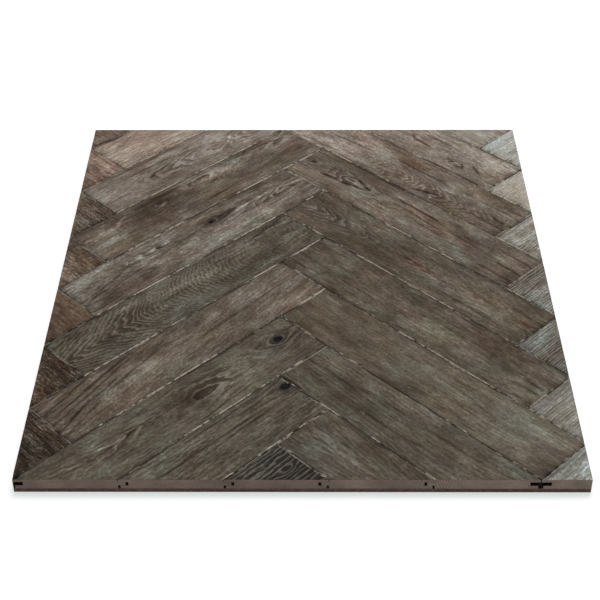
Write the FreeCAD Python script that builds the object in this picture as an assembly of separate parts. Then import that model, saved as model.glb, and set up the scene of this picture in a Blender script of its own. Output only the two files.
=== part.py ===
import FreeCAD, Part
import math
import os

os.makedirs("parts", exist_ok=True)

# A sawn panel of herringbone parquet: tongue-and-groove blocks of two hands,
# laid at 45 degrees, glued to one backing board and trimmed square.
# Millimetres, +Z up, X to the right, +Y to the back.
# The origin is the middle of the underside.

# Backing board
board_thickness = 6.0

# Block: its length is a whole number of widths, so that the corners of all rows line up
block_width = 90.0
widths_per_length = 5
block_thickness = 15.0
arris = 0.8

# Tongue and groove
face_layer = 4.4
groove_height = 5.6
groove_depth = 9.0
tongue_depth = 6.5
tongue_clearance = 0.15
tongue_nose = 0.6
tongue_setback = 13.0
lower_lip_setback = 2.0

# Panel: two whole rows wide, and so many half steps of the zigzag deep
half_steps_deep = 13

# Saw cuts, measured from the lines of block corners that they follow
left_trim = 0.6
right_trim = 2.4
back_trim = 4.7
front_trim = 0.2

# Heights in a block, from its underside
groove_top = block_thickness - face_layer
groove_bottom = groove_top - groove_height
tongue_top = groove_top - tongue_clearance
tongue_bottom = groove_bottom + tongue_clearance

# Steps of the herringbone, at 45 degrees
block_length = widths_per_length * block_width
along = block_length / math.sqrt(2.0)
across = block_width / math.sqrt(2.0)
row_pitch = 2.0 * across

# The panel's size and one left corner of its centre zigzag
panel_width = 2.0 * along + across - left_trim - right_trim
panel_depth = half_steps_deep * across - back_trim - front_trim
zigzag_x = along - left_trim - panel_width / 2.0
zigzag_y = along - front_trim - panel_depth / 2.0

UP = FreeCAD.Vector(0, 0, 1)


def extruded(points, direction):
    wire = Part.makePolygon(points + points[:1])
    return Part.Face(wire).extrude(direction)


def milled_section(span):
    """Section across a block: (distance from the tongue's shoulder, height)."""
    groove_floor = span - groove_depth
    lower_lip = span - lower_lip_setback
    return [
        (0.0, 0.0),
        (lower_lip, 0.0),
        (lower_lip, groove_bottom),
        (groove_floor, groove_bottom),
        (groove_floor, groove_top),
        (span, groove_top),
        (span, block_thickness - arris),
        (span - arris, block_thickness),
        (arris, block_thickness),
        (0.0, block_thickness - arris),
        (0.0, tongue_top),
        (tongue_nose - tongue_depth, tongue_top),
        (-tongue_depth, tongue_top - tongue_nose),
        (-tongue_depth, tongue_bottom + tongue_nose),
        (tongue_nose - tongue_depth, tongue_bottom),
        (0.0, tongue_bottom),
    ]


def right_hand_block():
    """A block that runs along +X, with its tongues on the front side and the far end.

    The long sides and then the ends are milled, so the block is what the two runs share.
    """
    length_run = block_length + tongue_depth
    width_run = block_width + tongue_depth
    sides = extruded(
        [FreeCAD.Vector(0, a, z) for a, z in milled_section(block_width)],
        FreeCAD.Vector(length_run, 0, 0),
    )
    ends = extruded(
        [FreeCAD.Vector(block_length - a, -tongue_depth, z) for a, z in milled_section(block_length)],
        FreeCAD.Vector(0, width_run, 0),
    )
    return sides.common(ends).cut(tongue_corner())


def tongue_corner():
    """The corner where both tongues meet, which is cut back to the shoulders."""
    end = block_length
    corner = [
        (end - tongue_setback, 0.0),
        (end - tongue_setback, -tongue_depth),
        (end + tongue_depth, -tongue_depth),
        (end + tongue_depth, tongue_setback),
        (end, tongue_setback),
        (end, 0.0),
    ]
    return extruded(
        [FreeCAD.Vector(x, y, tongue_bottom) for x, y in corner],
        UP * (tongue_top - tongue_bottom),
    )


def zigzag_corner(line, row):
    """Left corner of a zigzag line; line 0 is the centre one."""
    right_runs = (line + 1) // 2
    left_runs = line // 2
    x = zigzag_x + line * along
    y = zigzag_y - right_runs * along + left_runs * along - row * row_pitch
    return FreeCAD.Vector(x, y, board_thickness)


def laid(column, row):
    """The block of one column and row, in its place on the board."""
    if column % 2 == 0:
        block, turn = right_block.copy(), -45.0
        corner = zigzag_corner(column, row)
    else:
        block, turn = left_block.copy(), -135.0
        corner = zigzag_corner(column + 1, row) + FreeCAD.Vector(across, across, 0)
    block.rotate(FreeCAD.Vector(0, 0, 0), UP, turn)
    block.translate(corner)
    return block


def row_name(column):
    side, place = ("right", column + 1) if column >= 0 else ("left", -column)
    return "{}_row_{}".format(side, place)


panel_corner = FreeCAD.Vector(-panel_width / 2.0, -panel_depth / 2.0, 0)
board = Part.makeBox(panel_width, panel_depth, board_thickness, panel_corner)
trimmed = Part.makeBox(panel_width, panel_depth, board_thickness + block_thickness, panel_corner)
right_block = right_hand_block()
left_block = right_block.mirror(FreeCAD.Vector(0, 0, 0), FreeCAD.Vector(0, 1, 0))

board.exportStep("parts/backing_board.step")

steps = half_steps_deep + 2 * widths_per_length
for column in range(-2, 2):
    number = 0
    for row in range(-steps, steps):
        block = laid(column, row)
        if not block.BoundBox.intersect(trimmed.BoundBox):
            continue
        solids = block.common(trimmed).Solids
        if not solids:
            continue
        number += 1
        shape = solids[0] if len(solids) == 1 else Part.makeCompound(solids)
        shape.exportStep("parts/{}_block_{}.step".format(row_name(column), number))
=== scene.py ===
import math

import bmesh
import bpy
import numpy as np
from mathutils import Matrix, Vector


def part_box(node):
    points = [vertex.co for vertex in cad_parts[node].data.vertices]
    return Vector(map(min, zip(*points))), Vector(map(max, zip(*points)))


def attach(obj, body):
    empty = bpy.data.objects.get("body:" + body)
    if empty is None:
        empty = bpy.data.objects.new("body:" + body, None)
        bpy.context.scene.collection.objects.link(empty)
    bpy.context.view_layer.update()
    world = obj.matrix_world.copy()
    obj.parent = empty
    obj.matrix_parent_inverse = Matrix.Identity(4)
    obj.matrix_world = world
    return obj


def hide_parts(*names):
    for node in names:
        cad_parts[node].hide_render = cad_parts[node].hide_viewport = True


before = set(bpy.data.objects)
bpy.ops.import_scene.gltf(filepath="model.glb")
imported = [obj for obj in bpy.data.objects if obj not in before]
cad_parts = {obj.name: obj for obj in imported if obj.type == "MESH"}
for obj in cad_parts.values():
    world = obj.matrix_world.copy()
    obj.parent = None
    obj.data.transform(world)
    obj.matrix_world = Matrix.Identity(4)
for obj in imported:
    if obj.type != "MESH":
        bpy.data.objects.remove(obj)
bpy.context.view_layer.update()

# Lengths are in millimetres up to the point where a mesh is made.
MM = 0.001

# The block, as it is milled
BLOCK_WIDTH = 90.0
BLOCK_LENGTH = 450.0
FACE_LAYER = 4.4
GROOVE_HEIGHT = 5.6
GROOVE_DEPTH = 9.0
TONGUE_DEPTH = 6.5
TONGUE_CLEARANCE = 0.15
TONGUE_NOSE = 0.6
TONGUE_SETBACK = 13.0
LOWER_LIP_SETBACK = 2.0

# Places that the frame gives: the panel's outline, the heights and one corner of the centre zigzag
board_low, board_high = [np.array(corner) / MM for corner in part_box("backing_board")]
block_low, block_high = [np.array(corner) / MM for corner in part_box("right_row_1_block_5")]
BOARD_TOP = board_high[2]
FACE_Z = block_high[2]
ALONG = BLOCK_LENGTH / math.sqrt(2.0)
ACROSS = BLOCK_WIDTH / math.sqrt(2.0)
ROW_PITCH = 2.0 * ACROSS
ZIGZAG_X = block_low[0]
ZIGZAG_Y = block_low[1] + ALONG

GROOVE_TOP = FACE_Z - FACE_LAYER
GROOVE_BOTTOM = GROOVE_TOP - GROOVE_HEIGHT
TONGUE_TOP = GROOVE_TOP - TONGUE_CLEARANCE
TONGUE_BOTTOM = GROOVE_BOTTOM + TONGUE_CLEARANCE

# How fine the worn faces are modelled, and how the arrises have worn
CELL = 1.45
EDGE_LINES = np.array([0.0, 0.35, 0.8, 1.4, 2.2, 3.2])
JOINT_GAP = 0.13

# The broken corner of the panel: its place inside the front left corner, its size and its depth
BREAK_INSET = (3.5, 4.5)
BREAK_SIZE = 3.8
BREAK_DEPTH = 2.2

# Depth of the open knots, and the width up to which a sawn side is only a sliver
KNOT_DEPTH = 2.4
SLIVER = 2.0

# The photograph's camera, from the panel's corners in its 600 x 600 picture
CAMERA_PLACE = (7.7, -1595.3, 1199.9)
CAMERA_PITCH = 37.464
CAMERA_YAW = -0.443
CAMERA_ROLL = -0.256
CAMERA_LENS = 82.89

# Stains of the faces, as they look in daylight (sRGB, 0 to 255)
STAINS = {
    "taupe": (149, 134, 120),
    "drift": (124, 113, 102),
    "smoke": (100, 89, 77),
    "olive": (93, 83, 70),
    "slate": (89, 82, 70),
    "umber": (75, 59, 46),
    "bark": (83, 70, 58),
    "ash": (163, 156, 144),
    "steel": (115, 111, 103),
    "fog": (98, 89, 79),
    "sand": (134, 112, 97),
    "silver": (138, 139, 133),
}
LIMED = (166, 158, 146)
# Pale worn wood on the arrises, also painted highlight where their bevels catch the light
RUBBED_AND_HIGHLIGHT = (198, 186, 168)
# Dark knot wood, with the shade inside the open knots painted in as near black
KNOT_AND_HOLE_SHADE = (8, 7, 6)
SAWN = ((130, 113, 103), (114, 104, 95))
# Old dirt in the joints, with the shade deep in the joints and grooves painted in as near black
JOINT_DIRT_AND_SHADE = (24, 20, 18)
PLY = ((84, 66, 60), (98, 78, 70))

# Where a stain lies thicker it is also browner: shares of a change of tone for red, green and blue
TONE_SHARES = np.array([0.87, 1.02, 1.13])


def linear(colour):
    """An sRGB colour of 0 to 255 as linear light."""
    c = np.array(colour, dtype=float) / 255.0
    return np.where(c <= 0.04045, c / 12.92, ((c + 0.055) / 1.055) ** 2.4)


def rgba(colour, gain=1.0):
    return (*(linear(colour) * gain), 1.0)


# Noise and soft shapes


def hashed(i, j, seed):
    """A number from 0 to 1 for each grid point."""
    h = i.astype(np.uint64) * np.uint64(374761393) + j.astype(np.uint64) * np.uint64(668265263)
    h = (h + np.uint64(seed) * np.uint64(2246822519)) & np.uint64(0xFFFFFFFF)
    h = ((h ^ (h >> np.uint64(13))) * np.uint64(1274126177)) & np.uint64(0xFFFFFFFF)
    h = h ^ (h >> np.uint64(16))
    return h.astype(float) / 4294967295.0


def ripple(x, y, seed):
    """Gradient noise, about -1 to 1."""
    xi = np.floor(x).astype(np.int64)
    yi = np.floor(y).astype(np.int64)
    total = np.zeros_like(x)
    for dx in (0, 1):
        for dy in (0, 1):
            angle = hashed(xi + dx, yi + dy, seed) * 2.0 * math.pi
            px = x - xi - dx
            py = y - yi - dy
            wx = 1.0 - np.abs(px)
            wy = 1.0 - np.abs(py)
            weight = wx * wx * (3.0 - 2.0 * wx) * wy * wy * (3.0 - 2.0 * wy)
            total += weight * (np.cos(angle) * px + np.sin(angle) * py)
    return total * 1.6


def cloud(x, y, seed, octaves=3):
    """Layered noise, about -1 to 1."""
    total = np.zeros_like(x)
    gain = 0.6
    for octave in range(octaves):
        total += gain * ripple(x * 2.0 ** octave, y * 2.0 ** octave, seed + 17 * octave)
        gain *= 0.5
    return total


def step(low, high, x):
    t = np.clip((x - low) / (high - low), 0.0, 1.0)
    return t * t * (3.0 - 2.0 * t)


def spot(u, v, place):
    """A soft oval, 1 in the middle; place is (u, v, half length, half width)."""
    return np.exp(-((u - place[0]) / place[2]) ** 2 - ((v - place[1]) / place[3]) ** 2)


# Where the blocks lie


def zigzag_corner(line, row):
    """Left corner of a zigzag line; line 0 is the centre one."""
    x = ZIGZAG_X + line * ALONG
    y = ZIGZAG_Y - ((line + 1) // 2) * ALONG + (line // 2) * ALONG - row * ROW_PITCH
    return np.array([x, y])


class Place:
    """Where a block lies and its own axes: u from its grooved end, v from its tongued front side."""

    def __init__(self, column, row):
        half = math.sqrt(0.5)
        self.column = column
        if column % 2 == 0:
            self.corner = zigzag_corner(column, row)
            self.u_axis = np.array([half, -half])
            self.v_axis = np.array([half, half])
        else:
            self.corner = zigzag_corner(column + 1, row) + ACROSS
            self.u_axis = np.array([-half, -half])
            self.v_axis = np.array([-half, half])

    def to_panel(self, u, v):
        return self.corner + np.outer(u, self.u_axis) + np.outer(v, self.v_axis)

    def to_block(self, xy):
        offset = xy - self.corner
        return offset @ self.u_axis, offset @ self.v_axis

    def sawn_outline(self):
        """The corners of the part of the face inside the panel."""
        ends = np.array([0.0, BLOCK_LENGTH, BLOCK_LENGTH, 0.0])
        sides = np.array([0.0, 0.0, BLOCK_WIDTH, BLOCK_WIDTH])
        outline = list(self.to_panel(ends, sides))
        for axis in (0, 1):
            outline = clipped(outline, axis, board_low[axis], 1.0)
            outline = clipped(outline, axis, board_high[axis], -1.0)
        return outline


def clipped(outline, axis, limit, side):
    """A polygon cut off at a line of constant x or y."""
    kept = []
    for i, end in enumerate(outline):
        start = outline[i - 1]
        inside_start = side * (start[axis] - limit) >= 0.0
        inside_end = side * (end[axis] - limit) >= 0.0
        if inside_start != inside_end:
            share = (limit - start[axis]) / (end[axis] - start[axis])
            kept.append(start + share * (end - start))
        if inside_end:
            kept.append(end)
    return kept


def outline_area(outline):
    if len(outline) < 3:
        return 0.0
    points = np.array(outline)
    after = np.roll(points, -1, axis=0)
    return 0.5 * abs(np.sum(points[:, 0] * after[:, 1] - points[:, 1] * after[:, 0]))


def all_places():
    """Each block in the panel under its node's name, numbered from the back."""
    places = {}
    rows = int((board_high[1] - board_low[1]) / ROW_PITCH) + 8
    for column in range(-2, 2):
        side, rank = ("right", column + 1) if column >= 0 else ("left", -column)
        number = 0
        for row in range(-rows, rows):
            place = Place(column, row)
            if outline_area(place.sawn_outline()) > 1.0:
                number += 1
                places["{}_row_{}_block_{}".format(side, rank, number)] = place
    return places


# A block's mesh: a fine grid for the face, and the milled tongues and grooves below it


def face_lines(span, low, high):
    """Grid lines across a span, fine from low to high and near the block's own edges."""
    low = max(low, EDGE_LINES[-1])
    high = min(high, span - EDGE_LINES[-1])
    cells = max(1, int(round((high - low) / CELL)))
    lines = np.concatenate([
        EDGE_LINES,
        [GROOVE_DEPTH, span - GROOVE_DEPTH],
        np.linspace(low, high, cells + 1),
        span - EDGE_LINES,
    ])
    lines = np.unique(np.round(lines, 4))
    keep = np.concatenate([[True], np.diff(lines) > 0.2])
    keep |= np.isin(lines, [GROOVE_DEPTH, span - GROOVE_DEPTH, span])
    return lines[keep]


class Shell:
    """Points and faces of one closed block, in its own axes."""

    def __init__(self):
        self.points = []
        self.faces = []
        self.index = {}

    def point(self, u, v, z):
        key = (round(u, 4), round(v, 4), round(z, 4))
        if key not in self.index:
            self.index[key] = len(self.points)
            self.points.append(key)
        return self.index[key]

    def face(self, corners):
        self.faces.append([self.point(*corner) for corner in corners])


def tongue(shell, at, start, end, shoulder, outward):
    """A tongue between two stations; at(station, reach, z) gives its points in the block's axes."""
    base = shoulder
    flat = shoulder + outward * (TONGUE_DEPTH - TONGUE_NOSE)
    tip = shoulder + outward * TONGUE_DEPTH
    section = [
        (base, TONGUE_TOP),
        (flat, TONGUE_TOP),
        (tip, TONGUE_TOP - TONGUE_NOSE),
        (tip, TONGUE_BOTTOM + TONGUE_NOSE),
        (flat, TONGUE_BOTTOM),
        (base, TONGUE_BOTTOM),
    ]
    for (reach_a, z_a), (reach_b, z_b) in zip(section, section[1:]):
        shell.face([
            at(start, reach_a, z_a), at(end, reach_a, z_a), at(end, reach_b, z_b), at(start, reach_b, z_b),
        ])
    for station in (start, end):
        shell.face([at(station, reach, z) for reach, z in section])


def whole_block(u_lines, v_lines):
    """The closed shell of a whole block with a flat face."""
    shell = Shell()
    length, width = BLOCK_LENGTH, BLOCK_WIDTH
    groove_u, groove_v = GROOVE_DEPTH, width - GROOVE_DEPTH
    lip_u, lip_v = LOWER_LIP_SETBACK, width - LOWER_LIP_SETBACK
    top, bottom, floor = GROOVE_TOP, GROOVE_BOTTOM, BOARD_TOP

    for u_a, u_b in zip(u_lines, u_lines[1:]):
        for v_a, v_b in zip(v_lines, v_lines[1:]):
            shell.face([(u_a, v_a, FACE_Z), (u_b, v_a, FACE_Z), (u_b, v_b, FACE_Z), (u_a, v_b, FACE_Z)])
    for fixed in (0.0, width):
        for u_a, u_b in zip(u_lines, u_lines[1:]):
            shell.face([(u_a, fixed, FACE_Z), (u_b, fixed, FACE_Z), (u_b, fixed, top), (u_a, fixed, top)])
    for fixed in (0.0, length):
        for v_a, v_b in zip(v_lines, v_lines[1:]):
            shell.face([(fixed, v_a, FACE_Z), (fixed, v_b, FACE_Z), (fixed, v_b, top), (fixed, v_a, top)])

    # Underside of the upper lip, along the grooved end and the grooved side
    lip = [(0.0, v, top) for v in v_lines]
    lip += [(u, width, top) for u in u_lines[1:]]
    lip += [(length, v, top) for v in v_lines[::-1][1:] if v >= groove_v]
    lip += [(groove_u, groove_v, top)]
    lip += [(u, 0.0, top) for u in u_lines[::-1] if 0.0 < u <= groove_u]
    shell.face(lip)

    # Floors of the grooves
    shell.face([
        (groove_u, groove_v, top), (length, groove_v, top), (length, groove_v, TONGUE_TOP),
        (length, groove_v, TONGUE_BOTTOM), (length, groove_v, bottom), (groove_u, groove_v, bottom),
    ])
    shell.face([
        (groove_u, groove_v, top), (groove_u, 0.0, top), (groove_u, 0.0, TONGUE_TOP),
        (groove_u, 0.0, TONGUE_BOTTOM), (groove_u, 0.0, bottom), (groove_u, groove_v, bottom),
    ])

    # Shoulders round the roots of the tongues, then the tongues
    front_end = length - TONGUE_SETBACK
    front = [(u, 0.0, top) for u in u_lines if u >= groove_u]
    front += [(length, 0.0, bottom), (groove_u, 0.0, bottom), (groove_u, 0.0, TONGUE_BOTTOM)]
    front += [(front_end, 0.0, TONGUE_BOTTOM), (front_end, 0.0, TONGUE_TOP), (groove_u, 0.0, TONGUE_TOP)]
    shell.face(front)
    end = [(length, v, top) for v in v_lines if v <= groove_v]
    end += [(length, groove_v, TONGUE_TOP), (length, TONGUE_SETBACK, TONGUE_TOP)]
    end += [(length, TONGUE_SETBACK, TONGUE_BOTTOM), (length, groove_v, TONGUE_BOTTOM)]
    end += [(length, groove_v, bottom), (length, 0.0, bottom)]
    shell.face(end)
    tongue(shell, lambda s, r, z: (s, r, z), groove_u, front_end, 0.0, -1.0)
    tongue(shell, lambda s, r, z: (r, s, z), TONGUE_SETBACK, groove_v, length, 1.0)

    # Lower lip and underside
    shell.face([
        (lip_u, 0.0, bottom), (groove_u, 0.0, bottom), (groove_u, groove_v, bottom),
        (length, groove_v, bottom), (length, lip_v, bottom), (lip_u, lip_v, bottom),
    ])
    shell.face([
        (lip_u, lip_v, bottom), (length, lip_v, bottom), (length, lip_v, floor), (lip_u, lip_v, floor),
    ])
    shell.face([(lip_u, 0.0, bottom), (lip_u, lip_v, bottom), (lip_u, lip_v, floor), (lip_u, 0.0, floor)])
    shell.face([
        (lip_u, 0.0, floor), (length, 0.0, floor), (length, 0.0, bottom),
        (groove_u, 0.0, bottom), (lip_u, 0.0, bottom),
    ])
    shell.face([
        (length, 0.0, floor), (length, lip_v, floor), (length, lip_v, bottom),
        (length, groove_v, bottom), (length, 0.0, bottom),
    ])
    shell.face([(lip_u, 0.0, floor), (lip_u, lip_v, floor), (length, lip_v, floor), (length, 0.0, floor)])
    return shell


def sawn_block(name, place):
    """A block's mesh in the panel's axes, cut at the panel's edges, in millimetres."""
    u_seen, v_seen = place.to_block(np.array(place.sawn_outline()))
    margin = 12.0
    u_lines = face_lines(BLOCK_LENGTH, u_seen.min() - margin, u_seen.max() + margin)
    v_lines = face_lines(BLOCK_WIDTH, v_seen.min() - margin, v_seen.max() + margin)
    shell = whole_block(u_lines, v_lines)
    points = np.array(shell.points)
    points[:, :2] = place.to_panel(points[:, 0], points[:, 1])

    mesh = bpy.data.meshes.new(name + "_face")
    mesh.from_pydata(points.tolist(), [], shell.faces)
    bm = bmesh.new()
    bm.from_mesh(mesh)
    bmesh.ops.triangulate(bm, faces=[f for f in bm.faces if len(f.verts) > 4])
    for axis in (0, 1):
        for limit, sign in ((board_low[axis], -1.0), (board_high[axis], 1.0)):
            saw(bm, axis, limit, sign)
    bmesh.ops.recalc_face_normals(bm, faces=bm.faces[:])
    bm.to_mesh(mesh)
    bm.free()
    return mesh


def saw(bm, axis, limit, sign):
    """Cuts a mesh off at a side of the panel and closes the cut."""
    normal = Vector((0.0, 0.0, 0.0))
    normal[axis] = sign
    point = Vector((0.0, 0.0, 0.0))
    point[axis] = limit
    bmesh.ops.bisect_plane(
        bm, geom=bm.verts[:] + bm.edges[:] + bm.faces[:], dist=1e-4,
        plane_co=point, plane_no=normal, clear_outer=True,
    )
    rim = [e for e in bm.edges if e.is_boundary]
    if rim:
        bmesh.ops.holes_fill(bm, edges=rim, sides=0)


# The looks of the blocks. Places on a face are (u, v) with their half lengths and half widths.
# stain: the stain and its gain at the grooved end, and at the far end where that differs
# brush: contrast of the fine grain; cloudy: contrast of the mottling; drift: slope of the grain
# pith: the log's heart as (v, depth under the grooved end, depth under the far end, taper, ring spacing)
# wide_from: reach past which the rings are wider
# figure: how far the rings show all over; zones: where they show more
# eyes: closed rings; knots: (u, v, radius); patches: lighter or darker places; ruddy: redder places
# streaks: lighter or darker lines as (u, v, u, v, half width, gain)
# chips: stretches of the front arris that have worn pale and carry a painted highlight; front, outer: how
# pale the worn and highlighted front and far end are; sawn: gain of the sawn edge

PLAIN = {
    "stain": ("smoke", 1.0),
    "brush": 0.8,
    "cloudy": 1.0,
    "drift": 0.0,
    "pith": (20.0, 60.0, 60.0, 0.05, 5.0),
    "wide_from": 1000.0,
    "figure": 0.12,
    "zones": [],
    "eyes": [],
    "knots": [],
    "patches": [],
    "ruddy": [],
    "streaks": [],
    "chips": [],
    "front": 0.75,
    "outer": 0.7,
    "sawn": 1.0,
}

# What the blocks of a row share
ROW_LOOKS = {
    "left_row_1": {"front": 1.0, "outer": 0.25},
    "right_row_1": {},
    "left_row_2": {"front": 0.3, "outer": 0.15},
    "right_row_2": {"cloudy": 0.4, "pith": (-40, 20, 20, 0.02, 4)},
}

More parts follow.
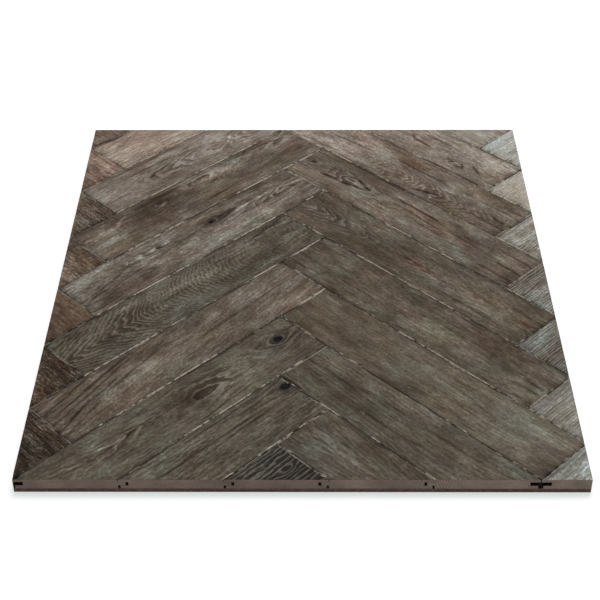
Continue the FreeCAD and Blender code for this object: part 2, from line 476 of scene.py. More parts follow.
LOOKS = {
    "left_row_1_block_1": {
        "stain": ("taupe", 1.01), "brush": 0.6, "cloudy": 0.45, "pith": (-30, 20, 20, 0.02, 5.5),
        "figure": 0.3,
        "patches": [(412, 87, 34, 4, -1.1)],
        "chips": [(280, 450)],
    },
    "left_row_1_block_2": {
        "stain": ("drift", 0.96), "brush": 0.6, "cloudy": 0.55, "pith": (38, 9, 9, 0.2, 6),
        "zones": [
            (160, 34, 34, 20, 1), (215, 38, 45, 18, 1), (290, 42, 60, 18, 1), (350, 45, 40, 12, 0.7),
        ],
        "eyes": [(206, 38, 30, 14, 2.6)],
        "patches": [(178, 63, 24, 10, 0.18), (410, 50, 40, 20, 0.1), (330, 80, 60, 7, 0.1)],
        "streaks": [
            (275, 68, 375, 66, 1.8, -0.35), (295, 52, 345, 47, 2, -0.5), (240, 60, 300, 64, 1.8, -0.25),
            (160, 26, 178, 48, 2, 0.35), (172, 48, 192, 32, 2, 0.35), (246, 50, 268, 36, 2, 0.3),
            (335, 44, 350, 40, 2.6, -0.5), (250, 84, 400, 84, 2, -0.25),
        ],
        "chips": [(190, 445)],
    },
    "left_row_1_block_3": {
        "stain": ("smoke", 1.08), "cloudy": 0.9, "pith": (68, 8, 8, -0.12, 6),
        "zones": [
            (40, 72, 45, 14, 0.8), (125, 72, 45, 10, 0.7), (208, 71, 45, 9, 1), (400, 60, 60, 18, 0.45),
        ],
        "eyes": [(208, 71, 30, 8, 1.7)],
        "patches": [
            (285, 64, 64, 28, -0.6), (120, 84, 70, 6, -0.4), (75, 38, 32, 16, 0.16),
            (408, 52, 34, 22, 0.2), (350, 40, 34, 22, -0.3),
        ],
        "streaks": [
            (6, 86, 40, 76, 2.2, 0.4), (30, 82, 75, 66, 2.2, 0.3), (100, 80, 175, 62, 2.4, 0.35),
            (180, 72, 196, 60, 2.2, 0.35), (185, 74, 235, 74, 2, -0.35), (284, 62, 300, 57, 2.4, 0.5),
            (300, 57, 306, 66, 2.4, 0.35), (286, 70, 304, 66, 3, -0.5), (355, 74, 380, 66, 2, 0.35),
            (365, 66, 420, 60, 2, 0.2), (95, 86, 120, 72, 2.4, -0.4), (145, 25, 240, 20, 1.8, -0.35),
            (180, 56, 215, 54, 1.5, -0.3), (240, 80, 340, 78, 3, -0.4),
        ],
        "chips": [(0, 80), (90, 260), (405, 450)],
    },
    "left_row_1_block_4": {
        "stain": ("fog", 1.24), "cloudy": 0.85, "pith": (57, 7, 7, -0.16, 6),
        "zones": [
            (70, 52, 70, 14, 0.85), (155, 60, 30, 20, 0.7), (310, 62, 55, 12, 1), (400, 40, 60, 18, 0.4),
        ],
        "eyes": [
            (52, 51, 36, 9, 1.6), (182, 62, 36, 17, 2.6), (275, 64, 15, 7, 1.5), (305, 63, 13, 6, 1.5),
            (333, 61, 13, 6, 1.5),
        ],
        "knots": [(184, 61, 2.7)],
        "patches": [
            (412, 74, 24, 10, 0.35), (166, 64, 26, 13, -0.9), (110, 20, 110, 12, 0.12),
            (400, 18, 50, 12, -0.2), (281, 64, 8, 3, -0.9), (306, 63, 6, 4, -0.9), (330, 61, 7, 3, -1),
            (348, 60, 8, 3, -0.9), (268, 67, 9, 4, 0.5), (295, 67, 7, 3, 0.55), (318, 65, 7, 3, 0.55),
            (339, 65, 6, 3, 0.5),
        ],
        "streaks": [
            (4, 46, 155, 43, 1.8, -0.4), (4, 50, 52, 61, 1.8, 0.45), (46, 58, 58, 50, 3, 0.4),
            (52, 61, 145, 56, 2, 0.4), (210, 58, 370, 38, 1.5, -0.2), (340, 62, 445, 30, 1.8, -0.25),
        ],
        "chips": [(85, 450)],
    },
    "left_row_1_block_5": {
        "stain": ("slate", 0.93), "cloudy": 0.8, "pith": (42, 150, -20, 0.38, 3), "wide_from": 126.0,
        "zones": [(205, 48, 85, 50, 0.5), (335, 45, 70, 50, 0.6), (415, 40, 60, 50, 0.65)],
        "patches": [(40, 74, 34, 9, -0.35), (104, 56, 22, 16, 0.2), (430, 80, 30, 8, -0.2)],
        "streaks": [
            (4, 70, 60, 76, 1.8, 0.35), (20, 80, 90, 74, 1.6, -0.4), (60, 68, 110, 84, 1.6, 0.25),
        ],
        "chips": [(4, 65), (100, 160), (275, 450)],
    },
    "left_row_1_block_6": {
        "stain": ("smoke", 1.06), "cloudy": 0.75, "drift": 0.12, "pith": (-20, 40, 40, 0.03, 6),
        "figure": 0.1,
        "patches": [
            (294, 54, 24, 14, 0.25), (366, 26, 24, 10, 0.18), (70, 20, 60, 10, 0.1),
            (430, 70, 40, 20, -0.2),
        ],
        "streaks": [
            (2, 55, 214, 42, 1.8, -0.25), (285, 86, 450, 50, 1.6, -0.4), (300, 76, 450, 40, 1.5, -0.35),
            (320, 60, 450, 30, 1.6, -0.35), (350, 88, 450, 62, 1.8, -0.4), (380, 50, 450, 24, 1.6, -0.4),
            (370, 38, 450, 14, 1.6, -0.35), (250, 66, 360, 44, 1.6, -0.25), (396, 84, 450, 72, 1.8, 0.25),
        ],
        "chips": [(0, 50), (300, 340)],
    },
    "left_row_1_block_7": {
        "stain": ("slate", 1.04), "brush": 0.7, "cloudy": 0.65, "pith": (50, 8, 8, -0.14, 6.4),
        "zones": [
            (45, 52, 50, 20, 0.75), (156, 47, 40, 24, 0.95), (320, 52, 55, 12, 1), (400, 55, 40, 14, 0.5),
        ],
        "eyes": [(44, 56, 38, 16, 1.8), (193, 47, 46, 20, 3.4)],
        "knots": [(38, 57, 4.3)],
        "patches": [
            (191, 50, 24, 13, -0.45), (195, 45, 11, 7, -0.5), (40, 56, 26, 12, -0.4),
            (80, 28, 60, 12, 0.1),
        ],
        "streaks": [
            (274, 55, 340, 64, 1.6, -0.35), (274, 55, 345, 48, 1.8, -0.4), (300, 55, 350, 55, 1.8, 0.25),
            (125, 14, 220, 8, 1.8, -0.3), (340, 46, 400, 52, 1.8, -0.3), (30, 88, 190, 88, 1.8, -0.3),
        ],
        "chips": [(0, 42), (42, 120), (140, 205)],
    },
    "left_row_1_block_8": {
        "stain": ("slate", 0.99), "brush": 0.85, "cloudy": 0.65, "pith": (-25, 30, 30, 0.05, 6),
        "figure": 0.22,
        "zones": [(40, 74, 30, 9, 0.5)],
        "knots": [(8, 70, 5)],
        "streaks": [
            (20, 82, 200, 80, 1.8, -0.25), (60, 58, 250, 56, 2, -0.3), (30, 52, 140, 50, 1.8, -0.25),
        ],
        "chips": [(20, 150)],
    },
    "left_row_1_block_9": {
        "stain": ("slate", 0.27), "brush": 1.2, "pith": (-25, 20, 20, 0.03, 6.4), "figure": 0.68,
        "eyes": [(25, 48, 14, 6, 1.4)],
    },
    "right_row_1_block_1": {"stain": ("ash", 0.69), "brush": 0.5, "cloudy": 0.6},
    "right_row_1_block_2": {
        "stain": ("drift", 1.1), "brush": 0.7, "cloudy": 0.45, "pith": (24, 10, 10, 0.12, 6.5),
        "zones": [(362, 25, 24, 10, 0.9), (300, 60, 50, 8, 0.4)],
        "eyes": [(362, 25, 20, 8, 2.4)],
        "patches": [
            (420, 66, 26, 14, 0.25), (300, 12, 80, 8, -0.15), (350, 27, 8, 3, -0.6),
            (374, 22, 8, 4, -0.5), (362, 26, 8, 3, 0.35),
        ],
        "streaks": [
            (270, 62, 330, 60, 1.8, -0.35), (262, 38, 302, 36, 2.2, -0.5), (388, 38, 412, 27, 2.4, -0.5),
            (350, 28, 374, 18, 1.8, -0.4), (370, 34, 384, 18, 2, -0.4), (300, 88, 440, 88, 1.8, -0.3),
            (320, 2, 440, 3, 2, -0.4), (252, 47, 264, 40, 2.2, -0.4),
        ],
    },
    "right_row_1_block_3": {
        "stain": ("drift", 1.2, "smoke", 1.08), "brush": 0.75, "cloudy": 0.8,
        "pith": (26, 14, 14, 0.36, 5.2),
        "zones": [(235, 24, 60, 20, 0.75), (310, 26, 50, 18, 0.7), (390, 28, 50, 18, 0.4)],
        "eyes": [(285, 24, 18, 9, 1.2), (212, 20, 16, 10, 1.4)],
        "patches": [
            (60, 40, 50, 30, -0.12), (165, 62, 24, 10, 0.34), (228, 74, 40, 16, -0.3),
            (310, 28, 24, 10, -0.2),
        ],
        "ruddy": [(225, 74, 36, 14, 1)],
        "streaks": [
            (60, 44, 150, 50, 1.8, -0.3), (270, 12, 330, 28, 2.4, -0.45), (190, 60, 310, 58, 1.8, -0.3),
            (330, 60, 440, 60, 1.8, -0.3), (410, 40, 440, 32, 2.6, -0.4), (30, 4, 120, 12, 2, -0.3),
            (400, 70, 448, 70, 1.6, -0.35), (380, 22, 448, 20, 1.6, -0.35), (276, 30, 286, 27, 2.4, 0.4),
            (305, 14, 312, 12, 2.4, 0.5),
        ],
    },
    "right_row_1_block_4": {
        "stain": ("smoke", 0.98), "brush": 0.75, "cloudy": 0.85, "pith": (50, 8, 8, 0.2, 6.2),
        "zones": [(100, 48, 50, 18, 1), (20, 45, 25, 16, 0.6), (215, 54, 60, 12, 0.4)],
        "eyes": [(94, 50, 26, 9, 2.4)],
        "patches": [(405, 52, 16, 12, 0.18), (120, 16, 100, 8, 0.12), (330, 50, 50, 14, -0.1)],
        "ruddy": [(250, 50, 50, 14, 0.6)],
        "streaks": [
            (46, 33, 112, 39, 2.6, -0.7), (180, 64, 280, 60, 2, -0.6), (185, 52, 290, 44, 2.2, -0.35),
            (106, 61, 142, 48, 2.4, -0.6), (110, 42, 142, 48, 2.2, -0.6), (150, 38, 200, 34, 1.8, -0.3),
            (0, 50, 24, 49, 2.4, -0.6), (225, 38, 300, 34, 1.8, -0.3), (300, 52, 400, 46, 2.4, -0.2),
            (390, 66, 448, 66, 1.6, -0.35), (400, 40, 448, 38, 2.2, -0.45), (380, 18, 448, 17, 1.6, -0.3),
            (60, 88, 200, 88, 1.8, -0.35), (86, 52, 118, 50, 3.4, 0.3),
        ],
    },
    "right_row_1_block_5": {
        "stain": ("olive", 0.89), "brush": 0.7, "cloudy": 0.8, "pith": (45, 9, 9, 0.27, 6),
        "zones": [(60, 45, 60, 18, 0.65), (130, 45, 30, 14, 0.4), (240, 42, 40, 8, 0.4)],
        "patches": [
            (80, 66, 70, 12, -0.15), (330, 74, 60, 12, 0.15), (60, 20, 60, 14, -0.12),
            (345, 44, 9, 5, -0.3), (428, 43, 14, 6, -0.45), (352, 46, 6, 4, 0.25), (330, 16, 90, 6, -0.2),
        ],
        "ruddy": [(432, 45, 14, 7, 1.6), (240, 44, 44, 8, 1.2), (350, 45, 12, 6, 1.2)],
        "streaks": [
            (200, 47, 276, 45, 1.8, -0.3), (210, 51, 270, 50, 1.6, 0.2), (300, 20, 440, 18, 2, -0.25),
            (20, 56, 100, 50, 1.6, -0.25), (390, 62, 448, 60, 1.6, -0.3), (400, 34, 448, 32, 1.6, -0.3),
        ],
        "chips": [(20, 70), (115, 230)],
    },
    "right_row_1_block_6": {
        "stain": ("olive", 0.93), "brush": 0.7, "figure": 0.08,
        "patches": [
            (90, 30, 60, 14, -0.12), (390, 66, 34, 14, 0.18), (200, 45, 10, 30, -0.15),
            (40, 60, 50, 20, -0.12),
        ],
        "streaks": [
            (400, 30, 448, 30, 1.8, -0.3), (410, 44, 446, 40, 2, -0.35), (2, 18, 40, 14, 3, -0.35),
        ],
        "chips": [(25, 50), (294, 324), (360, 395)],
    },
    "right_row_1_block_7": {
        "stain": ("olive", 1.05, "slate", 1.25), "brush": 0.6, "cloudy": 0.75, "figure": 0.08,
        "sawn": 1.3,
        "patches": [
            (145, 66, 40, 14, 0.15), (190, 24, 30, 10, 0.18), (415, 64, 40, 14, 0.2),
            (300, 30, 60, 12, -0.1),
        ],
        "chips": [(285, 310), (360, 368)],
    },
    "right_row_1_block_8": {
        "stain": ("slate", 1.1), "brush": 0.65, "cloudy": 0.75, "pith": (-20, 30, 30, 0.04, 6),
        "figure": 0.16, "sawn": 1.25,
        "patches": [(130, 26, 40, 9, -0.22), (190, 70, 50, 8, -0.2), (60, 60, 60, 16, -0.12)],
        "streaks": [
            (121, 27, 131, 27, 4, 0.3), (10, 54, 90, 54, 1.6, -0.25), (110, 28, 220, 28, 1.8, -0.25),
            (100, 62, 300, 60, 1.8, -0.25), (2, 3, 40, 3, 2, -0.5),
        ],
        "chips": [(60, 110)],
    },
    "right_row_1_block_9": {
        "stain": ("slate", 1.03), "brush": 0.65, "pith": (46, 10, 10, 0.12, 5.4), "figure": 0.2,
        "sawn": 1.1,
        "zones": [(50, 46, 50, 14, 0.4)],
        "patches": [(60, 70, 60, 14, -0.15), (40, 40, 40, 10, 0.12)],
    },
    "left_row_2_block_1": {"stain": ("smoke", 0.85), "figure": 0.3},
    "left_row_2_block_2": {"stain": ("sand", 0.81), "cloudy": 0.55, "figure": 0.3},
    "left_row_2_block_3": {"stain": ("bark", 1.11), "brush": 1.5, "figure": 0.2},
    "left_row_2_block_4": {"stain": ("bark", 1.74), "brush": 1.2, "cloudy": 0.75, "figure": 0.2},
    "left_row_2_block_5": {"stain": ("umber", 1.39), "cloudy": 0.6, "figure": 0.2},
    "left_row_2_block_6": {"stain": ("umber", 0.75), "brush": 1.9, "figure": 0.15},
    "left_row_2_block_7": {"stain": ("umber", 0.55), "brush": 1.8, "cloudy": 1.6, "figure": 0.2},
    "right_row_2_block_1": {"stain": ("silver", 1.33), "brush": 0.6, "figure": 0.25},
    "right_row_2_block_2": {"stain": ("ash", 0.94), "brush": 0.6, "figure": 0.3},
    "right_row_2_block_3": {"stain": ("ash", 0.61), "figure": 0.5},
    "right_row_2_block_4": {"stain": ("steel", 0.93), "cloudy": 0.8, "figure": 0.75},
    "right_row_2_block_5": {"stain": ("steel", 0.74), "cloudy": 0.9, "figure": 0.75},
    "right_row_2_block_6": {"stain": ("steel", 1.3), "brush": 0.6, "figure": 0.3},
    "right_row_2_block_7": {"stain": ("silver", 1.02), "figure": 0.3, "sawn": 1.35},
}


def cloud_tints(warm, green):
    """Shares of red, green and blue that warmer and greener clouds add."""
    return warm * np.array([0.11, 0.0, -0.14]) + green * np.array([-0.1, 0.06, -0.02])


class Face:
    """What the worn face of one block is like at each of its points."""

    def __init__(self, look, seed, u, v):
        self.look = look
        self.seed = seed
        self.u = u
        self.v = v
        # Distances from the four edges
        self.to_front = v
        self.to_back = BLOCK_WIDTH - v
        self.to_inner = u
        self.to_outer = BLOCK_LENGTH - u
        self.across = self.fibres()
        self.ring = self.rings()
        self.figure = self.figuring()
        self.front_chips = self.chipped_front()
        self.back_chips = self.broken(u, 63, 0.12 + 0.35 * step(330.0, 400.0, u))
        self.outer_chips = self.broken(v, 67, 0.6)
        self.inner_chips = self.broken(v, 71, 0.45)
        self.edges = [
            (self.to_front, self.front_chips), (self.to_back, self.back_chips),
            (self.to_outer, self.outer_chips), (self.to_inner, self.inner_chips),
        ]

    def fibres(self):
        """Distance across the grain, which bends round the knots and eyes."""
        y = self.v + self.look["drift"] * (self.u - 0.5 * BLOCK_LENGTH)
        y = y + 2.6 * cloud(self.u / 150.0, self.v / 60.0, self.seed, 2)
        for eye in self.look["eyes"]:
            y = y - 0.45 * (self.v - eye[1]) * spot(self.u, self.v, (eye[0], eye[1], eye[2], 1.6 * eye[3]))
        for u, v, radius in self.look["knots"]:
            y = y - 0.8 * (self.v - v) * spot(self.u, self.v, (u, v, 5.0 * radius, 3.5 * radius))
        return y

    def rings(self):
        """Count of growth rings from the pith, whole at each ring line."""
        v, depth, far_depth, taper, spacing = self.look["pith"]
        depth = np.maximum(depth + (far_depth - depth) * self.u / BLOCK_LENGTH, 2.5)
        reach = np.sqrt((self.across - v) ** 2 + depth ** 2) - depth + taper * self.u
        past = np.maximum(reach - self.look["wide_from"], 0.0)
        ring = (reach - past + past / 2.2) / spacing
        ring = ring + 0.65 * cloud(self.u / 45.0, self.across / 14.0, self.seed + 5, 3)
        for eye in self.look["eyes"]:
            ring = ring + eye[4] * spot(self.u, self.v, eye)
        for u, v, radius in self.look["knots"]:
            ring = ring + 1.4 * spot(self.u, self.v, (u, v, 2.5 * radius, 2.0 * radius))
        return ring

    def knot_reach(self, u, v, radius):
        """Distance from the middle of a knot, 1 at its rim."""
        return np.hypot((self.u - u) / (1.25 * radius), (self.v - v) / radius)

    def figuring(self):
        figure = np.full_like(self.u, self.look["figure"])
        for zone in self.look["zones"]:
            figure = np.maximum(figure, zone[4] * spot(self.u, self.v, zone))
        patchy = 0.85 + 0.5 * cloud(self.u / 40.0, self.across / 12.0, self.seed + 9, 2)
        for u, v, radius in self.look["knots"]:
            patchy = patchy * step(1.3, 2.4, self.knot_reach(u, v, radius))
        return np.clip(figure * patchy, 0.0, 1.0)

    def broken(self, distance, salt, share):
        """Stretches of an edge that have chipped, 0 to 1, over about a share of its length."""
        still = np.zeros_like(distance)
        long_runs = cloud(distance / 55.0, still + 0.37, self.seed + salt, 2)
        short_runs = cloud(distance / 8.0, still + 0.71, self.seed + salt + 3, 2)
        nicks = cloud(distance / 5.5, still + 0.53, self.seed + salt + 5, 3)
        limit = 0.45 * (0.5 - share)
        return step(limit - 0.1, limit + 0.3, 1.2 * long_runs + 0.6 * short_runs + 0.35 * nicks)

    def chipped_front(self):
        chips = self.broken(self.u, 61, 0.16)
        for start, end in self.look["chips"]:
            run = step(start - 6.0, start + 6.0, self.u) * step(end + 6.0, end - 6.0, self.u)
            chips = np.maximum(chips, run * self.broken(self.u, 83, 0.66))
        return chips

    def colour(self, painted_sheen):
        stain = self.look["stain"]
        near = linear(STAINS[stain[0]]) * stain[1]
        far = linear(STAINS[stain[-2]]) * stain[-1]
        share = step(60.0, 330.0, self.u)[:, None]
        colour = near * (1.0 - share) + far * share
        colour = colour * np.exp(np.outer(self.mottle(), TONE_SHARES))
        # Painted sheen lightens the colour towards the back and the right edge; dirt and painted seam shade
        # darken it at the edges.
        colour = colour * ((1.0 + painted_sheen) * self.dirt_and_seam_shade())[:, None]
        warm = cloud(self.u / 80.0, self.v / 34.0, self.seed + 33, 2)[:, None]
        green = cloud(self.u / 50.0, self.v / 30.0, self.seed + 37, 2)[:, None]
        colour = colour * (1.0 + cloud_tints(warm, green) * self.look["cloudy"])
        for place in self.look["ruddy"]:
            share = place[4] * spot(self.u, self.v, place)[:, None]
            colour = colour * (1.0 + share * np.array([0.14, -0.04, -0.06]))
        for u, v, radius in self.look["knots"]:
            halo = spot(self.u, self.v, (u, v, 3.6 * radius, 2.4 * radius))[:, None]
            colour = colour * (1.0 - 0.6 * halo)
            ragged = 0.8 * cloud(self.u / 7.0, self.v / 5.0, self.seed + 39, 3)
            # The knot's core: dark knot wood, with the shade of the open hole painted in as near black.
            core = step(1.4, 0.95, self.knot_reach(u, v, radius) + ragged)[:, None]
            colour = colour * (1.0 - core) + linear(KNOT_AND_HOLE_SHADE) * core
        return np.clip(colour, 0.0, 1.0)

    def mottle(self):
        """Uneven tone of the stain, as a power of e: clouds, patches and streaks."""
        tone = 0.38 * cloud(self.u / 60.0, self.across / 13.0, self.seed + 21, 3)
        tone += 0.6 * cloud(self.u / 30.0, self.v / 22.0, self.seed + 25, 3)
        tone += 1.1 * cloud(self.u / 140.0, self.v / 55.0, self.seed + 27, 2)
        tone = tone * self.look["cloudy"]
        ragged = 1.0 + 0.6 * cloud(self.u / 30.0, self.across / 6.0, self.seed + 29, 2)
        for patch in self.look["patches"]:
            tone += 1.8 * patch[4] * spot(self.u, self.v, patch) * ragged
        wavy = self.v + 1.6 * cloud(self.u / 34.0, self.v / 40.0, self.seed + 31, 2)
        for start_u, start_v, end_u, end_v, half_width, gain in self.look["streaks"]:
            along = (self.u - start_u) / (end_u - start_u)
            off = wavy - start_v - along * (end_v - start_v)
            ends = step(-0.05, 0.2, along) * step(1.05, 0.8, along)
            tone += 3.2 * gain * ends * np.exp(-(off / half_width) ** 2) * ragged
        return np.where(tone > 0.0, 0.85 * np.minimum(tone, 0.8), tone)

    def dirt_and_seam_shade(self):
        """Dirt and painted shade along the edges and seams, darkest in the arrises that have not chipped
        and in splits at the ends.
        """
        dirt_and_seam_shade = np.ones_like(self.u)
        thick = step(-0.3, 0.3, cloud(self.u / 40.0, self.v / 40.0, self.seed + 73, 2))
        for distance, chips in self.edges:
            # Painted seam shade: darker within a few millimetres of each edge, most in the arrises that
            # have not chipped.
            dirt_and_seam_shade *= 1.0 - 0.22 * np.exp(-(distance / 6.0) ** 2)
            dirt_and_seam_shade *= 1.0 - (0.2 + 0.5 * thick) * (1.0 - chips) * np.exp(-(distance / 1.4) ** 2)
        splits = step(0.05, 0.35, ripple(self.v / 3.4, self.u / 60.0, self.seed + 75))
        dirt_and_seam_shade *= 1.0 - 0.7 * splits * np.exp(-self.to_outer / 6.0)
        dirt_and_seam_shade *= 1.0 - 0.3 * splits * np.exp(-self.to_inner / 5.0)
        return dirt_and_seam_shade

    def wear_and_highlight(self):
        """How far the edges are painted pale: wood worn pale and limed, and a painted highlight on the
        arrises, most on the front.
        """
        amounts = (self.look["front"], 0.4, self.look["outer"], 0.6)
        wear_and_highlight = np.zeros_like(self.u)
        for (distance, chips), amount, middle, width in zip(
            self.edges, amounts, (0.8, 0.6, 0.7, 0.7), (1.0, 0.9, 1.0, 1.0)
        ):
            wear_and_highlight = np.maximum(wear_and_highlight, amount * chips * np.exp(-((distance - middle) / width) ** 2))
        return np.minimum(wear_and_highlight, 1.0)

    def depth(self):
        """How far the face lies under its highest level: scrape marks, worn arrises and open knots."""
        depth = 0.24 + 0.17 * cloud(self.u / 65.0, self.across / 17.0, self.seed + 41, 2)
        depth += 0.05 * cloud(self.u / 22.0, self.across / 4.0, self.seed + 45, 2)
        for (distance, chips), width in zip(self.edges, (1.5, 1.3, 1.4, 1.4)):
            depth += (0.6 - 0.2 * chips) * np.exp(-(distance / width) ** 2)
        for u, v, radius in self.look["knots"]:
            depth += KNOT_DEPTH * step(1.5, 0.6, self.knot_reach(u, v, radius))
        return np.maximum(depth, 0.02)

    def pulled_in(self):
        """How far points near the edges stand back from the joints, along u and along v."""
        front, back, outer, inner = [
            JOINT_GAP * (2.2 - 1.2 * chips) * np.clip(1.0 - distance / EDGE_LINES[-1], 0, 1)
            for distance, chips in self.edges
        ]
        return inner - outer, front - back


def panel_painted_sheen(xy):
    """Painted sheen: the face is made paler towards the back and towards the right edge, where the sheen of
    the light falls.
    """
    to_right = board_high[0] - xy[:, 0]
    to_back = board_high[1] - xy[:, 1]
    return 0.12 * np.exp(-to_right / 70.0) + 0.1 * np.exp(-to_back / 120.0)


def broken_corner(xy):
    """How far the front left corner has broken away, 0 to 1."""
    away = xy - board_low[:2] - np.array(BREAK_INSET)
    return np.exp(-np.sum(away ** 2, axis=1) / BREAK_SIZE ** 2)


def add_values(mesh, name, kind, values):
    field = "color" if kind == "FLOAT_COLOR" else "vector" if kind == "FLOAT_VECTOR" else "value"
    layer = mesh.attributes.new(name, kind, "POINT")
    layer.data.foreach_set(field, np.ascontiguousarray(values, dtype=np.float32).ravel())


def faces_within(mesh, chosen):
    """Which faces have all their points among the chosen ones."""
    corners = np.empty(len(mesh.loops), dtype=np.int32)
    starts = np.empty(len(mesh.polygons), dtype=np.int32)
    mesh.loops.foreach_get("vertex_index", corners)
    mesh.polygons.foreach_get("loop_start", starts)
    return np.logical_and.reduceat(chosen[corners], starts)


def wide(points):
    """Whether a sawn side is more than the sliver where only a corner was cut."""
    return len(points) > 0 and np.ptp(points[:, :2], axis=0).max() > SLIVER


def make_block(name, place, seed, materials):
    mesh = sawn_block(name, place)
    count = len(mesh.vertices)
    points = np.empty(count * 3)
    mesh.vertices.foreach_get("co", points)
    points = points.reshape(-1, 3)
    u, v = place.to_block(points[:, :2])

    look = dict(PLAIN)
    look.update(ROW_LOOKS[name.rsplit("_block_", 1)[0]])
    look.update(LOOKS[name])
    face = Face(look, seed, u, v)
    on_face = points[:, 2] > FACE_Z - 0.01
    on_lip = points[:, 2] > GROOVE_TOP - 0.01
    pull_u, pull_v = face.pulled_in()
    move = np.outer(pull_u, place.u_axis) + np.outer(pull_v, place.v_axis)
    sides = []
    for axis in (0, 1):
        on_low = points[:, axis] < board_low[axis] + 0.01
        on_high = points[:, axis] > board_high[axis] - 0.01
        sides += [on_low, on_high]
        move[on_low | on_high, axis] = 0.0
        move[on_low | on_high, 1 - axis] *= 2.0
    points[on_lip, :2] += move[on_lip] * np.where(on_face[on_lip], 1.0, 0.6)[:, None]
    corner_break = broken_corner(points[:, :2])
    points[on_face, 2] -= face.depth()[on_face] + BREAK_DEPTH * corner_break[on_face]
    points[:, :2] = np.clip(points[:, :2], board_low[:2], board_high[:2])

    # Painted sheen, paler towards the back and the right edge.
    painted_sheen = panel_painted_sheen(points[:, :2])
    stain = np.ones((count, 4))
    # The broken corner is painted almost black: painted shade in its hollow.
    stain[:, :3] = face.colour(painted_sheen) * (1.0 - 0.97 * corner_break)[:, None]
    fibre = np.stack([u + 37.0 * seed, face.across, np.full(count, 3.7 * seed)], axis=1)
    mesh.vertices.foreach_set("co", (points * MM).ravel())
    add_values(mesh, "stain", "FLOAT_COLOR", stain)
    add_values(mesh, "fibre", "FLOAT_VECTOR", fibre)
    add_values(mesh, "ring", "FLOAT", face.ring)
    add_values(mesh, "figure", "FLOAT", face.figure)
    add_values(mesh, "wear_and_highlight", "FLOAT", face.wear_and_highlight() * (1.0 - corner_break))
    add_values(mesh, "brush", "FLOAT", np.full(count, look["brush"]))
    add_values(mesh, "sawn", "FLOAT", np.full(count, look["sawn"]))

    for material in materials:
        mesh.materials.append(material)
    worn = faces_within(mesh, on_face)
    sawn = np.any([faces_within(mesh, side) for side in sides if wide(points[side])], axis=0)
    mesh.polygons.foreach_set("use_smooth", worn)
    mesh.polygons.foreach_set("material_index", np.where(worn, 0, np.where(sawn, 1, 2)).astype(np.int32))
    mesh.update()

    piece = bpy.data.objects.new(name + "_oak", mesh)
    bpy.context.collection.objects.link(piece)
    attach(piece, "root")
    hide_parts(name)
    return piece


# Materials


class Graph:
    """The nodes of a material or world, made one at a time."""

    def __init__(self, owner):
        self.owner = owner
        owner.use_nodes = True
        self.tree = owner.node_tree
        self.tree.nodes.clear()

    def node(self, kind, inputs=None, **settings):
        node = self.tree.nodes.new(kind)
        for key, value in settings.items():
            setattr(node, key, value)
        for socket, source in (inputs or {}).items():
            if isinstance(source, bpy.types.NodeSocket):
                self.tree.links.new(source, node.inputs[socket])
            else:
                node.inputs[socket].default_value = source
        return node

    def value(self, name):
        return self.node("ShaderNodeAttribute", attribute_name=name).outputs["Fac"]

    def math(self, operation, a, b=0.0, c=0.0):
        return self.node("ShaderNodeMath", {0: a, 1: b, 2: c}, operation=operation).outputs[0]

    def total(self, start, *terms):
        """A start plus each value times its gain."""
        for value, gain in terms:
            start = self.math("MULTIPLY_ADD", value, gain, start)
        return start

    def product(self, *terms):
        """The product of lines, each a value times its gain plus an offset."""
        lines = [self.math("MULTIPLY_ADD", *term) for term in terms]
        result = lines[0]
        for line in lines[1:]:
            result = self.math("MULTIPLY", result, line)
        return result

    def noise(self, place, stretch, detail=2.0, roughness=0.55):
        """Noise on coordinates that are first stretched along each axis."""
        scaled = self.node("ShaderNodeVectorMath", {0: place, 1: stretch}, operation="MULTIPLY").outputs[0]
        inputs = {"Vector": scaled, "Scale": 1.0, "Detail": detail, "Roughness": roughness}
        return self.node("ShaderNodeTexNoise", inputs).outputs["Fac"]

    def spread(self, value, low, high, to_low=0.0, to_high=1.0):
        inputs = {0: value, 1: low, 2: high, 3: to_low, 4: to_high}
        return self.node("ShaderNodeMapRange", inputs, interpolation_type="SMOOTHSTEP").outputs[0]

    def mix(self, share, a, b, blend="MIX"):
        node = self.node("ShaderNodeMix", {0: share, 6: a, 7: b}, data_type="RGBA", blend_type=blend)
        return node.outputs[2]

    def toned(self, colour, tone):
        """A colour times e to the power of a tone, with each channel's own share of it."""
        shades = [self.math("EXPONENT", self.math("MULTIPLY", tone, float(share))) for share in TONE_SHARES]
        factor = self.node("ShaderNodeCombineXYZ", {0: shades[0], 1: shades[1], 2: shades[2]}).outputs[0]
        return self.node("ShaderNodeVectorMath", {0: colour, 1: factor}, operation="MULTIPLY").outputs[0]

    def scaled(self, colour, factor):
        return self.node("ShaderNodeVectorMath", {0: colour, "Scale": factor}, operation="SCALE").outputs[0]

    def finish(self, colour, roughness, height, specular, bump_depth, bump_strength):
        bump = self.node("ShaderNodeBump", {
            "Strength": bump_strength,
            "Distance": bump_depth,
            "Height": height,
        })
        shader = self.node("ShaderNodeBsdfPrincipled", {
            "Base Color": colour,
            "Roughness": roughness,
            "Normal": bump.outputs["Normal"],
            "Specular IOR Level": specular,
        })
        self.node("ShaderNodeOutputMaterial", {"Surface": shader.outputs[0]})
        return self.owner


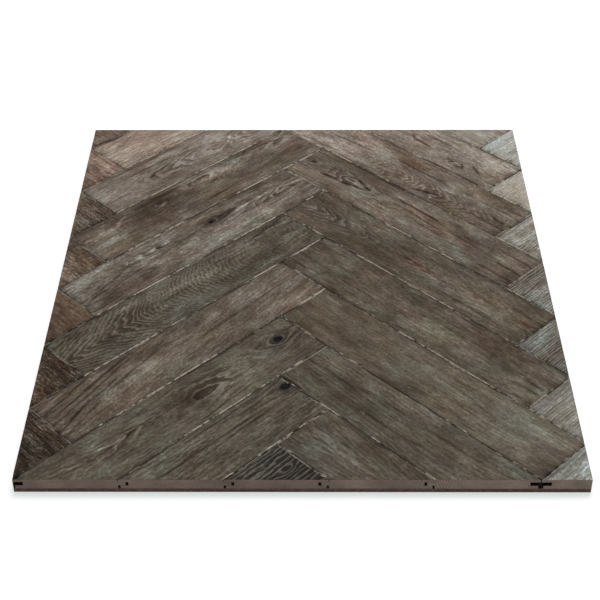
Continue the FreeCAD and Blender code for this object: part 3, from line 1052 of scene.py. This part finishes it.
def face_material():
    """Worn, stained oak: fine grain, pores, ring lines limed pale or left dark, and pale edges that are
    partly worn wood and partly painted highlight.
    """
    g = Graph(bpy.data.materials.new("worn_oak_face"))
    fibre = g.node("ShaderNodeAttribute", attribute_name="fibre").outputs["Vector"]
    stain = g.node("ShaderNodeAttribute", attribute_name="stain").outputs["Color"]
    figure = g.value("figure")
    streak = g.noise(fibre, (1 / 24.0, 1 / 2.4, 1.0), 3.0)
    broad = g.noise(fibre, (1 / 26.0, 1 / 11.0, 1.0), 3.0)
    long_streak = g.noise(fibre, (1 / 120.0, 1 / 3.4, 1.0), 2.0)
    fine = g.noise(fibre, (1 / 4.5, 1 / 1.5, 1.0), 2.0)
    speck = g.noise(fibre, (1 / 5.0, 1 / 4.0, 1.0), 3.0)
    pores = g.spread(g.noise(fibre, (1 / 7.0, 1 / 1.1, 1.0), 1.0), 0.6, 0.72)
    wander = g.noise(fibre, (1 / 20.0, 1 / 7.0, 1.0), 2.0)
    ring = g.math("FRACT", g.math("MULTIPLY_ADD", wander, 1.2, g.value("ring")))
    pale = g.math("MULTIPLY", g.spread(ring, 0.34, 0.58), g.spread(ring, 0.66, 0.8, 1.0, 0.0))
    dark = g.math("MULTIPLY", g.spread(ring, 0.70, 0.82), g.spread(ring, 0.88, 1.0, 1.0, 0.0))

    seams = g.spread(g.noise(fibre, (1 / 48.0, 1 / 4.2, 1.0), 3.0), 0.56, 0.68)
    dabs = g.spread(g.noise(fibre, (1 / 13.0, 1 / 2.8, 1.0), 2.0), 0.58, 0.7)

    grain = g.total(
        -4.75, (streak, 1.9), (broad, 1.9), (long_streak, 1.2), (fine, 2.6), (speck, 1.9),
        (seams, -0.6), (dabs, 0.4),
    )
    wave = g.math("COSINE", g.math("MULTIPLY_ADD", ring, 2.0 * math.pi, -1.1 * math.pi))
    wave = g.math("MULTIPLY", wave, figure)
    dark = g.math("MULTIPLY", dark, figure)
    tone = g.math("MULTIPLY", grain, g.value("brush"))
    tone = g.total(tone, (pores, -0.3), (wave, 0.4), (dark, -0.7))
    colour = g.toned(stain, tone)
    limed_share = g.math("MULTIPLY", g.math("MULTIPLY", pale, figure), 0.4)
    colour = g.mix(limed_share, colour, rgba(LIMED))
    # Pale arrises: worn wood and painted highlight
    rubbed_and_highlight = g.math("MULTIPLY", g.value("wear_and_highlight"), g.spread(fine, 0.3, 0.55, 0.25, 1.0))
    colour = g.mix(rubbed_and_highlight, colour, rgba(RUBBED_AND_HIGHLIGHT))

    roughness = g.spread(streak, 0.2, 0.8, 0.44, 0.6)
    height = g.total(0.0, (fine, 0.5), (streak, 0.5), (dark, -0.6), (pores, -0.3))
    return g.finish(colour, roughness, height, 0.05, 0.0004, 0.5)


def sawn_material():
    """Raw oak on the sawn sides: short upright fibre ends, soft bands, and ring lines here and there."""
    g = Graph(bpy.data.materials.new("sawn_oak"))
    place = g.node("ShaderNodeTexCoord").outputs["Object"]
    ends = g.noise(place, (900.0, 900.0, 160.0), 2.0)
    bands = g.noise(place, (70.0, 70.0, 260.0), 2.0)
    blotch = g.noise(place, (22.0, 22.0, 22.0), 2.0)
    tone = g.product((ends, 0.6, 0.7), (bands, 1.1, 0.45), (blotch, 1.2, 0.4))
    lean = g.node("ShaderNodeVectorMath", {0: place, 1: (270.0, 270.0, 110.0)}, operation="DOT_PRODUCT")
    rings = g.math("FRACT", g.math("MULTIPLY_ADD", bands, 2.0, lean.outputs["Value"]))
    ticks = g.math("MULTIPLY", g.spread(rings, 0.45, 0.7), g.spread(rings, 0.85, 1.0, 1.0, 0.0))
    shown = g.spread(g.noise(place, (13.0, 13.0, 13.0), 1.0), 0.56, 0.66, 0.05, 0.4)
    tone = g.math("MULTIPLY", tone, g.math("MULTIPLY_ADD", g.math("MULTIPLY", ticks, shown), -1.0, 1.0))
    tone = g.math("MULTIPLY", tone, g.value("sawn"))
    colour = g.mix(g.spread(bands, 0.4, 0.7), rgba(SAWN[0]), rgba(SAWN[1]))
    colour = g.scaled(colour, tone)
    return g.finish(colour, g.spread(ends, 0.2, 0.8, 0.7, 0.85), ends, 0.2, 0.0003, 0.5)


def joint_dirt_and_shade_material():
    """The milled sides inside the joints, dark with old dirt and glue, and painted near black for the shade
    deep in the joints and grooves.
    """
    g = Graph(bpy.data.materials.new("joint_dirt_and_shade"))
    place = g.node("ShaderNodeTexCoord").outputs["Object"]
    grain = g.noise(place, (300.0, 300.0, 500.0), 2.0)
    tone = g.math("MULTIPLY_ADD", grain, 1.0, 0.5)
    colour = g.scaled(tuple(linear(JOINT_DIRT_AND_SHADE)), tone)
    return g.finish(colour, g.spread(grain, 0.2, 0.8, 0.75, 0.9), grain, 0.1, 0.0003, 0.4)


def backing_material():
    """Thin reddish-brown plywood: layers on the edge, soft grain on the underside."""
    g = Graph(bpy.data.materials.new("backing_ply"))
    place = g.node("ShaderNodeTexCoord").outputs["Object"]
    layers = g.noise(place, (6.0, 6.0, 700.0), 1.0)
    grain = g.noise(place, (260.0, 9.0, 260.0), 3.0)
    fine = g.noise(place, (1100.0, 60.0, 900.0), 2.0)
    tone = g.product((layers, 0.9, 0.55), (grain, 0.8, 0.6), (fine, 0.5, 0.75))
    colour = g.mix(g.spread(grain, 0.35, 0.7), rgba(PLY[0]), rgba(PLY[1]))
    colour = g.scaled(colour, tone)
    return g.finish(colour, g.spread(fine, 0.2, 0.8, 0.68, 0.85), fine, 0.2, 0.0003, 0.4)


# Studio


def floor_material():
    """A pale floor: white to the camera where no shadow falls, plain pale grey to the light."""
    g = Graph(bpy.data.materials.new("studio_floor"))
    path = g.node("ShaderNodeLightPath").outputs
    seen = g.math("MAXIMUM", path["Is Camera Ray"], path["Is Glossy Ray"])
    seen = g.math("MAXIMUM", seen, path["Is Transmission Ray"])
    colour = g.mix(seen, rgba((225, 225, 225)), (0.95, 0.8, 0.83, 1.0))
    matt = g.node("ShaderNodeBsdfDiffuse", {"Color": colour})
    glow = g.node("ShaderNodeEmission", {"Color": (0.373, 0.472, 0.452, 1.0), "Strength": seen})
    both = g.node("ShaderNodeAddShader", {0: matt.outputs[0], 1: glow.outputs[0]})
    g.node("ShaderNodeOutputMaterial", {"Surface": both.outputs[0]})
    return g.owner


def add_floor():
    half = 12.0
    mesh = bpy.data.meshes.new("studio_floor")
    corners = [(-half, -half, 0.0), (half, -half, 0.0), (half, half, 0.0), (-half, half, 0.0)]
    mesh.from_pydata(corners, [], [(0, 1, 2, 3)])
    mesh.materials.append(floor_material())
    floor = bpy.data.objects.new("studio_floor", mesh)
    floor.location.z = -0.0004
    bpy.context.collection.objects.link(floor)


def add_area_light(name, place, target, size, power):
    data = bpy.data.lights.new(name, "AREA")
    data.shape = "SQUARE"
    data.size = size
    data.energy = power
    light = bpy.data.objects.new(name, data)
    light.location = place
    aim = Vector(target) - Vector(place)
    light.rotation_euler = aim.to_track_quat("-Z", "Y").to_euler()
    bpy.context.collection.objects.link(light)


def add_world():
    """White to the camera, and a plain soft light on everything else."""
    g = Graph(bpy.data.worlds.new("studio"))
    path = g.node("ShaderNodeLightPath").outputs
    seen = g.math("MAXIMUM", path["Is Camera Ray"], path["Is Glossy Ray"])
    strength = g.node("ShaderNodeMapRange", {"Value": seen, "To Min": 0.42, "To Max": 1.0}).outputs[0]
    sky = g.node("ShaderNodeBackground", {"Strength": strength, "Color": (1.0, 1.0, 1.0, 1.0)})
    g.node("ShaderNodeOutputWorld", {"Surface": sky.outputs[0]})
    bpy.context.scene.world = g.owner


def add_camera():
    pitch = math.radians(CAMERA_PITCH)
    yaw = math.radians(CAMERA_YAW)
    roll = math.radians(CAMERA_ROLL)
    forward = Vector((math.sin(yaw) * math.cos(pitch), math.cos(yaw) * math.cos(pitch), -math.sin(pitch)))
    level_right = Vector((math.cos(yaw), -math.sin(yaw), 0.0))
    level_up = level_right.cross(forward)
    right = level_right * math.cos(roll) + level_up * math.sin(roll)
    up = level_up * math.cos(roll) - level_right * math.sin(roll)
    data = bpy.data.cameras.new("photo_camera")
    data.sensor_width = 36.0
    data.lens = CAMERA_LENS
    camera = bpy.data.objects.new("photo_camera", data)
    turn = Matrix((right, up, -forward)).transposed().to_4x4()
    camera.matrix_world = Matrix.Translation(Vector(CAMERA_PLACE) * MM) @ turn
    bpy.context.collection.objects.link(camera)
    bpy.context.scene.camera = camera


add_camera()
add_world()
add_floor()
add_area_light("soft_key", (0.3, 0.95, 2.45), (0.0, 0.0, 0.0), 1.6, 38.0)
add_area_light("front_fill", (-0.6, -2.6, 1.5), (0.0, 0.0, 0.0), 1.6, 5.0)

face_oak = face_material()
sawn_oak = sawn_material()
joint_dirt_and_shade = joint_dirt_and_shade_material()
for index, (name, place) in enumerate(all_places().items()):
    make_block(name, place, index + 1, [face_oak, sawn_oak, joint_dirt_and_shade])

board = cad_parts["backing_board"]
board.data.materials.clear()
board.data.materials.append(backing_material())

scene = bpy.context.scene
scene.view_settings.view_transform = "Standard"
